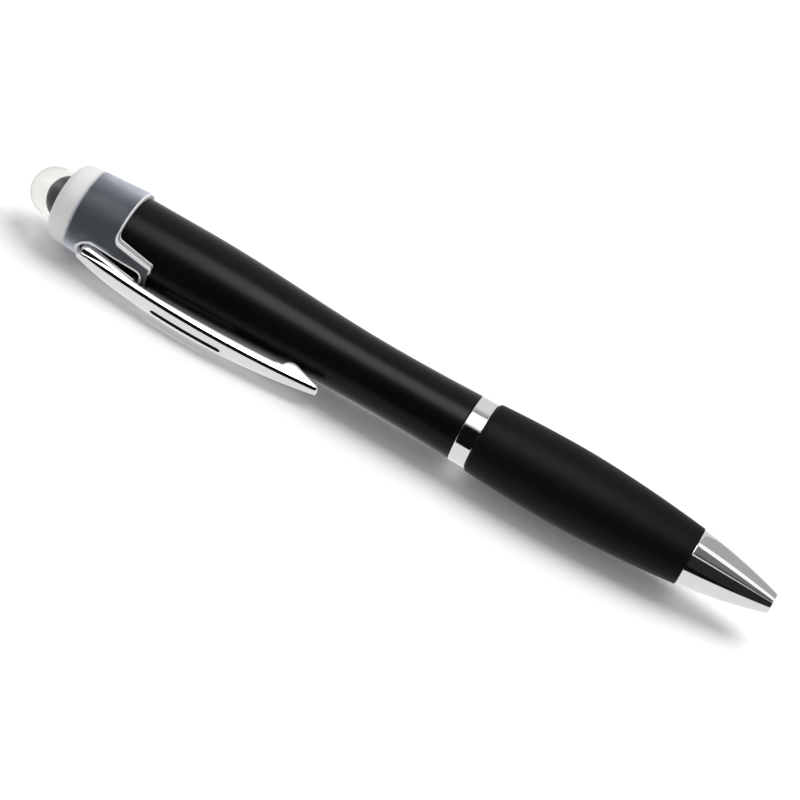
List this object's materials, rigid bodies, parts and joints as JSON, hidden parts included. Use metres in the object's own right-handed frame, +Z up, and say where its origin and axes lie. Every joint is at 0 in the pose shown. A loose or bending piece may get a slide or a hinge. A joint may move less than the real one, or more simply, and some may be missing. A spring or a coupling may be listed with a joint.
{
  "type": "ballpoint pen with stylus",
  "caption": "Twist-action ballpoint pen with a clear stylus dome that presses a lamp switch, a clear tongued cap, a bowed spring clip and a soft grip; a helical cam drives the refill.",
  "frame": {"origin": "on the table, under the middle of the pen's bounding box", "axes": "+X along the pen's axis from the stylus end to the nose, +Z up, as the pen lies on its cap and its clip"},
  "size_m": [0.1418, 0.0176, 0.0156],
  "materials": {
    "clear_silicone": "clear",
    "clear_plastic": "clear",
    "black_satin": "satin",
    "black_rubber": "matte",
    "black_plastic": "matte",
    "chrome": "polished",
    "white_plastic": "satin",
    "board": "satin",
    "gold_contact": "polished",
    "steel": "satin",
    "clear_lens": "clear",
    "refill_plastic": "translucent",
    "ink": "gloss",
    "brass": "satin"
  },
  "bodies": {
    "grip_section": {"trim_ring": "chrome", "guide_sleeve": "white_plastic", "grip_core": "black_plastic", "rubber_grip": "black_rubber", "nose_cone": "chrome", "return_spring": "steel"},
    "barrel": {"upper_barrel": "black_satin", "end_cap": "clear_plastic", "twist_cam": "white_plastic", "switch_housing": "black_plastic", "circuit_board": "board", "battery_sleeve": "white_plastic", "button_cells": "steel", "rear_contact": "gold_contact", "contact_spring": "gold_contact", "contact_strip": "gold_contact", "led": "clear_lens", "led_leads": "steel"},
    "stylus_button": {"stylus_tip": "clear_silicone", "stylus_plunger": "black_plastic", "switch_button": "white_plastic"},
    "clip": {"pocket_clip": "chrome"},
    "refill": {"refill_carrier": "white_plastic", "refill_tube": "refill_plastic", "ink": "ink", "refill_tip": "brass", "tip_ball": "steel"}
  },
  "joints": [
    {"name": "barrel_twist", "type": "hinge", "parent": "grip_section", "child": "barrel", "pos_m": [0.0131, 0.00097, 0.0078], "axis": [1, 0, 0], "range_deg": [0, 180]},
    {"name": "refill_slide", "type": "slide", "parent": "grip_section", "child": "refill", "axis": [1, 0, 0], "range_m": [0, 0.005], "deforming": ["return_spring"]},
    {"name": "stylus_press", "type": "slide", "parent": "barrel", "child": "stylus_button", "axis": [1, 0, 0], "range_m": [0, 0.0012], "stiffness_N_per_m": 1400, "springref_m": -0.0006},
    {"name": "clip_flex", "type": "hinge", "parent": "barrel", "child": "clip", "pos_m": [-0.0569, -0.00461, 0.00401], "axis": [0, 0.5614, -0.8275], "range_deg": [0, 4], "stiffness_Nm_per_rad": 5, "springref_deg": -0.57}
  ],
  "couplings": [
    {"joint": "refill_slide", "follows": "barrel_twist", "m_per_rad": 0.0015915}
  ]
}
